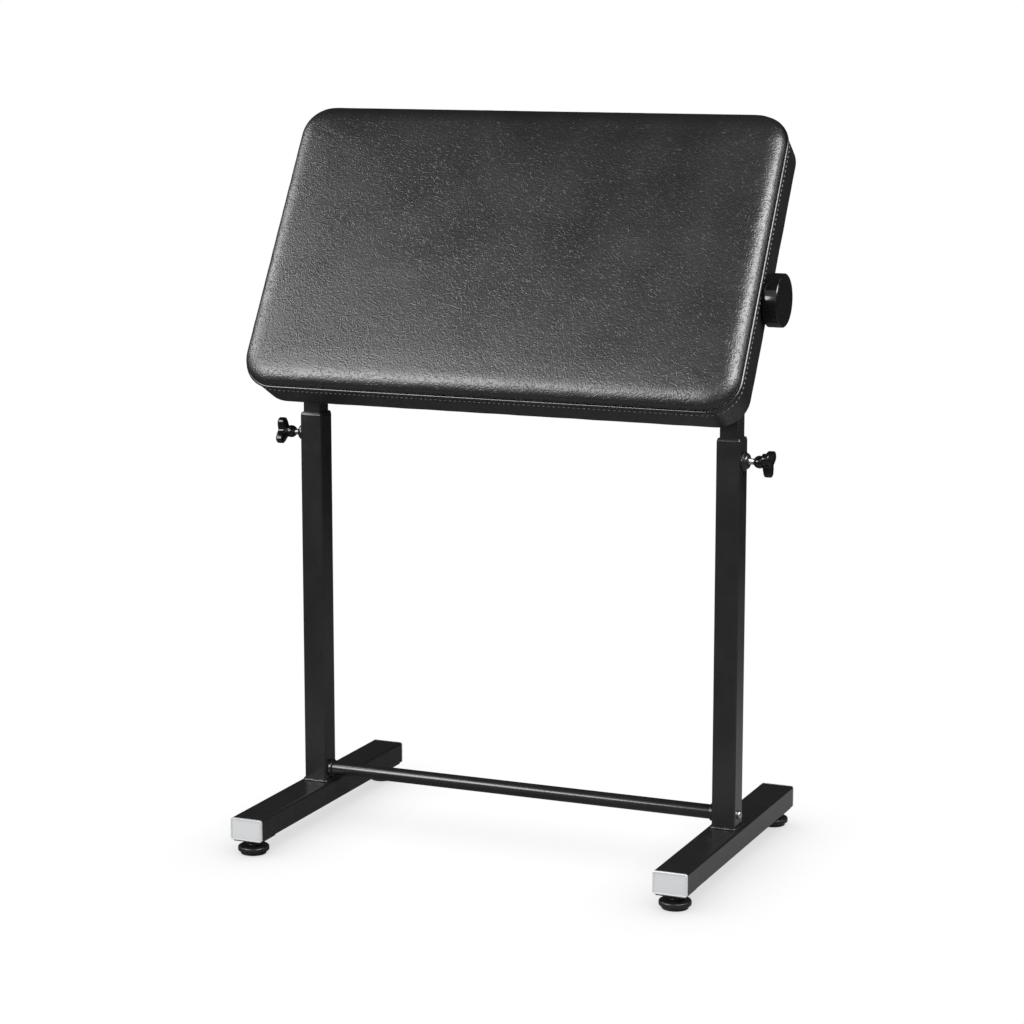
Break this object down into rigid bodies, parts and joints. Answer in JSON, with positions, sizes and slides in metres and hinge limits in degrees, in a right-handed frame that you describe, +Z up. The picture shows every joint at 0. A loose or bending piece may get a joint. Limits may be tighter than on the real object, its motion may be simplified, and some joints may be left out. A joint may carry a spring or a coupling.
{
  "type": "tattoo arm rest stand",
  "caption": "Free-standing arm rest: a padded black board that tilts on telescopic square posts with clamp knobs, on straight legs with levelling feet.",
  "frame": {"origin": "on the floor, halfway between the two columns", "axes": "+X from the left column to the right column, which is the side of the tilt knob; +Y from the front, where the pad faces, to the back; +Z up"},
  "size_m": [0.6698, 0.41, 0.9089],
  "materials": {
    "powder_black": "satin",
    "silver_cap": "satin",
    "nylon_black": "satin",
    "gloss_black": "gloss",
    "sole_rubber": "matte",
    "zinc_steel": "satin",
    "pad_leather": "satin",
    "piping_leather": "gloss",
    "pad_foam": "matte",
    "board_plywood": "matte",
    "back_cloth": "matte"
  },
  "bodies": {
    "base": {"leg_left": "powder_black", "leg_right": "powder_black", "column_left": "powder_black", "column_right": "powder_black", "welds": "powder_black", "leg_cap_front_left": "silver_cap", "leg_cap_front_right": "silver_cap", "leg_cap_rear_left": "silver_cap", "leg_cap_rear_right": "silver_cap", "foot_plates": "powder_black", "foot_nuts": "zinc_steel", "guide_bush_left": "nylon_black", "guide_bush_right": "nylon_black", "clamp_boss_left": "powder_black", "clamp_boss_right": "powder_black", "cross_bar": "powder_black", "cross_bar_collars": "powder_black", "cross_bar_plugs": "zinc_steel", "cross_bar_screws": "zinc_steel"},
    "lift": {"post_left": "powder_black", "post_right": "powder_black", "post_glides": "nylon_black", "pivot_head_left": "powder_black", "pivot_head_right": "powder_black", "pivot_sleeves": "nylon_black", "friction_washers": "nylon_black", "pivot_bolt": "zinc_steel", "pivot_nut": "zinc_steel", "pivot_washer": "zinc_steel"},
    "pad": {"pad_board": "board_plywood", "pad_rim": "board_plywood", "pad_foam": "pad_foam", "pad_top_panel": "pad_leather", "pad_side_band": "pad_leather", "pad_piping": "piping_leather", "pad_back_cloth": "back_cloth", "back_staples": "zinc_steel", "bracket_left": "powder_black", "bracket_right": "powder_black", "bracket_screws": "zinc_steel", "tee_nuts": "zinc_steel", "tilt_nut": "zinc_steel"},
    "tilt_knob": {"tilt_knob": "gloss_black", "tilt_stud": "zinc_steel"},
    "clamp_left": {"clamp_knob_left": "gloss_black", "clamp_screw_left": "zinc_steel"},
    "clamp_right": {"clamp_knob_right": "gloss_black", "clamp_screw_right": "zinc_steel"},
    "foot_front_left": {"foot_front_left": "nylon_black", "foot_stud_front_left": "zinc_steel", "foot_sole_front_left": "sole_rubber"},
    "foot_front_right": {"foot_front_right": "nylon_black", "foot_stud_front_right": "zinc_steel", "foot_sole_front_right": "sole_rubber"},
    "foot_rear_left": {"foot_rear_left": "nylon_black", "foot_stud_rear_left": "zinc_steel", "foot_sole_rear_left": "sole_rubber"},
    "foot_rear_right": {"foot_rear_right": "nylon_black", "foot_stud_rear_right": "zinc_steel", "foot_sole_rear_right": "sole_rubber"}
  },
  "joints": [
    {"name": "height_slide", "type": "slide", "parent": "base", "child": "lift", "axis": [0, 0, 1], "range_m": [-0.1, 0.2]},
    {"name": "pad_tilt", "type": "hinge", "parent": "lift", "child": "pad", "pos_m": [0, 0, 0.696], "axis": [1, 0, 0], "range_deg": [-59, 6]},
    {"name": "tilt_knob_turn", "type": "hinge", "parent": "pad", "child": "tilt_knob", "pos_m": [0, 0, 0.696], "axis": [1, 0, 0], "continuous": true},
    {"name": "clamp_turn_left", "type": "hinge", "parent": "base", "child": "clamp_left", "pos_m": [0, 0, 0.502], "axis": [1, 0, 0], "continuous": true},
    {"name": "clamp_turn_right", "type": "hinge", "parent": "base", "child": "clamp_right", "pos_m": [0, 0, 0.502], "axis": [1, 0, 0], "continuous": true},
    {"name": "foot_level_front_left", "type": "slide", "parent": "base", "child": "foot_front_left", "axis": [0, 0, 1], "range_m": [-0.01, 0.0035]},
    {"name": "foot_level_front_right", "type": "slide", "parent": "base", "child": "foot_front_right", "axis": [0, 0, 1], "range_m": [-0.01, 0.0035]},
    {"name": "foot_level_rear_left", "type": "slide", "parent": "base", "child": "foot_rear_left", "axis": [0, 0, 1], "range_m": [-0.01, 0.0035]},
    {"name": "foot_level_rear_right", "type": "slide", "parent": "base", "child": "foot_rear_right", "axis": [0, 0, 1], "range_m": [-0.01, 0.0035]}
  ]
}
